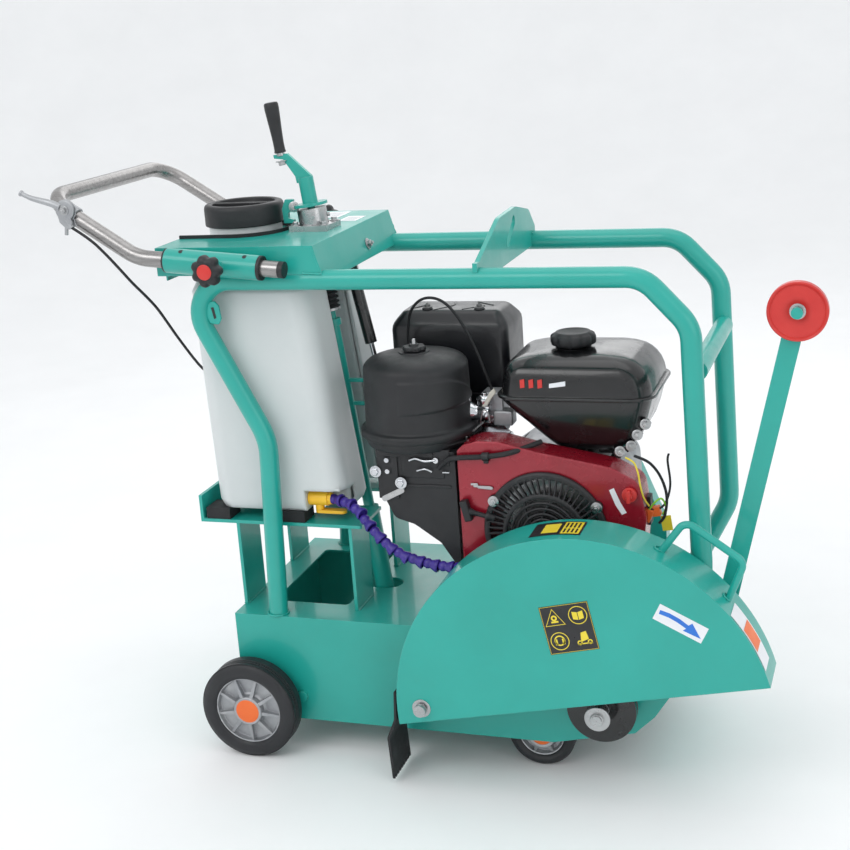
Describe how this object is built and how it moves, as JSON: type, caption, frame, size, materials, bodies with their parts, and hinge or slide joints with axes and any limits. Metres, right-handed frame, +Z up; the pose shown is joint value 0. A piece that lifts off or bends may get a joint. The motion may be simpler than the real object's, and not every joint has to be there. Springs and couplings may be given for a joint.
{
  "type": "walk-behind concrete saw",
  "caption": "Walk-behind petrol concrete saw with tubular frame, water tank, lifting blade guard, crank depth control and folding pointer.",
  "frame": {"origin": "on the ground under the middle of the whole machine", "axes": "+X forward in the cutting direction, +Y to the operator's left, +Z up"},
  "size_m": [1.3324, 0.585, 1.1426],
  "materials": {
    "paint_green": "gloss",
    "paint_black": "satin",
    "paint_red": "gloss",
    "steel": "satin",
    "stainless": "polished",
    "chrome": "polished",
    "aluminium": "cast",
    "cast": "cast",
    "rubber": "matt",
    "tyre": "matt",
    "tank_white": "translucent",
    "plastic_black": "moulded",
    "plastic_red": "gloss",
    "plastic_yellow": "gloss",
    "hose_purple": "moulded"
  },
  "bodies": {
    "chassis": {"base_frame": "paint_green", "frame_tube_right": "paint_green", "frame_tube_left": "paint_green", "front_cross_brace": "paint_green", "lifting_plate": "paint_green", "control_box": "paint_green", "opening_trim": "rubber", "handle_sleeves": "paint_green", "water_tank": "tank_white", "tank_strap": "rubber", "tank_cradle": "paint_green", "tank_pads": "rubber", "valve_body": "plastic_yellow", "water_hose": "hose_purple", "crank_housing": "steel", "screw_boot": "rubber", "rear_axle": "steel", "engine_block": "aluminium", "cylinder_head": "aluminium", "fan_shroud": "paint_red", "recoil_cover": "plastic_black", "engine_fuel_tank": "paint_black", "muffler": "paint_black", "air_cleaner_base": "plastic_black", "air_cleaner_cover": "plastic_black", "carburettor": "aluminium", "bearing_blocks": "cast", "drive_belts": "rubber", "belt_guard": "paint_green", "throttle_cable": "rubber", "pivot_bolts": "steel"},
    "handle": {"handlebar": "stainless", "handle_plugs": "plastic_black"},
    "knob_right": {"clamp_knob_right": "plastic_black"},
    "knob_left": {"clamp_knob_left": "plastic_black"},
    "throttle": {"throttle_lever": "aluminium"},
    "cap": {"tank_cap": "plastic_black"},
    "tap": {"valve_lever": "plastic_yellow"},
    "crank": {"depth_crank": "paint_green"},
    "grip": {"crank_grip": "plastic_black"},
    "latch": {"crank_latch": "paint_green"},
    "rod": {"depth_rod": "paint_green"},
    "gas_outer": {"gas_spring_cylinder": "paint_black"},
    "gas_inner": {"gas_spring_rod": "chrome"},
    "carriage": {"front_carriage": "paint_green"},
    "front_right": {"front_wheel_right": "tyre"},
    "front_left": {"front_wheel_left": "tyre"},
    "rear_right": {"rear_wheel_right": "tyre"},
    "rear_left": {"rear_wheel_left": "tyre"},
    "engine_rotor": {"crankshaft": "steel"},
    "spindle": {"blade_shaft": "steel"},
    "starter": {"recoil_grip": "plastic_black"},
    "filler": {"fuel_cap": "plastic_black"},
    "nut": {"wing_nut": "steel"},
    "choke": {"choke_lever": "steel"},
    "switch": {"engine_switch": "plastic_red"},
    "guard": {"blade_guard": "paint_green", "splash_flap": "rubber"},
    "pointer": {"pointer_arm": "paint_green"},
    "pointer_disc": {"pointer_wheel": "plastic_red"}
  },
  "joints": [
    {"name": "handle_telescope", "type": "slide", "parent": "chassis", "child": "handle", "axis": [0.996, 0, -0.0889], "range_m": [-0.1, 0.01]},
    {"name": "knob_right_turn", "type": "hinge", "parent": "chassis", "child": "knob_right", "pos_m": [-0.30732, -0.2335, 0.8931], "axis": [0, -1, 0], "range_deg": [0, 1080]},
    {"name": "knob_left_turn", "type": "hinge", "parent": "chassis", "child": "knob_left", "pos_m": [-0.30732, 0.2585, 0.8931], "axis": [0, 1, 0], "range_deg": [0, 1080]},
    {"name": "throttle_turn", "type": "hinge", "parent": "handle", "child": "throttle", "pos_m": [-0.57932, -0.2165, 0.994], "axis": [0, 1, 0], "range_deg": [-35, 0]},
    {"name": "tank_cap_turn", "type": "hinge", "parent": "chassis", "child": "cap", "pos_m": [-0.34932, -0.0025, 0.95], "axis": [0, 0, 1], "range_deg": [0, 540]},
    {"name": "tap_turn", "type": "hinge", "parent": "chassis", "child": "tap", "pos_m": [-0.20732, -0.1125, 0.432], "axis": [0, 0, 1], "range_deg": [0, 90]},
    {"name": "depth_crank_turn", "type": "hinge", "parent": "chassis", "child": "crank", "pos_m": [-0.12832, -0.0025, 0.15], "axis": [-0.1128, 0, 0.9936], "range_deg": [-3080, 1190]},
    {"name": "crank_grip_spin", "type": "hinge", "parent": "crank", "child": "grip", "pos_m": [-0.26892, -0.0025, 1.0535], "axis": [-0.1128, 0, 0.9936], "continuous": true},
    {"name": "crank_latch_turn", "type": "hinge", "parent": "chassis", "child": "latch", "pos_m": [-0.26932, -0.0025, 0.95], "axis": [0, 0, 1], "range_deg": [0, 60]},
    {"name": "depth_rod_slide", "type": "slide", "parent": "chassis", "child": "rod", "axis": [-0.1128, 0, 0.9936], "range_m": [-0.034, 0.013]},
    {"name": "gas_spring_swing", "type": "hinge", "parent": "chassis", "child": "gas_outer", "pos_m": [-0.17532, 0.0315, 0.884], "axis": [0, 1, 0], "range_deg": [-1, 1]},
    {"name": "gas_spring_stroke", "type": "slide", "parent": "gas_outer", "child": "gas_inner", "axis": [0.1896, 0, -0.9819], "range_m": [-0.0135, 0.0345]},
    {"name": "carriage_swing", "type": "hinge", "parent": "chassis", "child": "carriage", "pos_m": [-0.24532, 0.0125, 0.1], "axis": [0, 1, 0], "range_deg": [-6.3, 16.2]},
    {"name": "front_right_roll", "type": "hinge", "parent": "carriage", "child": "front_right", "pos_m": [0.19068, -0.1465, 0.059], "axis": [0, 1, 0], "continuous": true},
    {"name": "front_left_roll", "type": "hinge", "parent": "carriage", "child": "front_left", "pos_m": [0.19068, 0.1715, 0.059], "axis": [0, 1, 0], "continuous": true},
    {"name": "rear_right_roll", "type": "hinge", "parent": "chassis", "child": "rear_right", "pos_m": [-0.33052, -0.2175, 0.09], "axis": [0, 1, 0], "continuous": true},
    {"name": "rear_left_roll", "type": "hinge", "parent": "chassis", "child": "rear_left", "pos_m": [-0.33052, 0.2425, 0.09], "axis": [0, 1, 0], "continuous": true},
    {"name": "engine_turn", "type": "hinge", "parent": "chassis", "child": "engine_rotor", "pos_m": [0.20968, 0.0125, 0.422], "axis": [0, 1, 0], "continuous": true},
    {"name": "blade_shaft_turn", "type": "hinge", "parent": "chassis", "child": "spindle", "pos_m": [0.31168, 0.0125, 0.149], "axis": [0, 1, 0], "continuous": true},
    {"name": "starter_pull", "type": "slide", "parent": "chassis", "child": "starter", "axis": [-0.966, -0.2585, 0], "range_m": [0, 0.25], "stiffness_N_per_m": 40, "springref_m": -0.1},
    {"name": "fuel_cap_turn", "type": "hinge", "parent": "chassis", "child": "filler", "pos_m": [0.23968, -0.0075, 0.72], "axis": [0, 0, 1], "range_deg": [0, 90]},
    {"name": "wing_nut_turn", "type": "hinge", "parent": "chassis", "child": "nut", "pos_m": [-0.02532, -0.0675, 0.72], "axis": [0, 0, 1], "range_deg": [0, 1080]},
    {"name": "choke_turn", "type": "hinge", "parent": "chassis", "child": "choke", "pos_m": [-0.07332, -0.1375, 0.47], "axis": [0, 1, 0], "range_deg": [-30, 30]},
    {"name": "switch_turn", "type": "hinge", "parent": "chassis", "child": "switch", "pos_m": [0.35268, -0.1425, 0.494], "axis": [0, 1, 0], "range_deg": [0, 45]},
    {"name": "guard_lift", "type": "hinge", "parent": "chassis", "child": "guard", "pos_m": [0.01568, -0.2325, 0.149], "axis": [0, 1, 0], "range_deg": [-75, 0]},
    {"name": "pointer_fold", "type": "hinge", "parent": "chassis", "child": "pointer", "pos_m": [0.47318, -0.1375, 0.17], "axis": [0, 1, 0], "range_deg": [0, 87]},
    {"name": "pointer_disc_spin", "type": "hinge", "parent": "pointer", "child": "pointer_disc", "pos_m": [0.62018, -0.1505, 0.8026], "axis": [0, 1, 0], "continuous": true}
  ],
  "couplings": [
    {"joint": "depth_crank_turn", "follows": "depth_rod_slide", "rad_per_m": 1570.8},
    {"joint": "carriage_swing", "follows": "depth_rod_slide", "rad_per_m": -8.2034},
    {"joint": "gas_spring_swing", "follows": "depth_rod_slide", "rad_per_m": -0.294},
    {"joint": "gas_spring_stroke", "follows": "depth_rod_slide", "ratio": -0.997},
    {"joint": "blade_shaft_turn", "follows": "engine_turn", "ratio": 1}
  ]
}
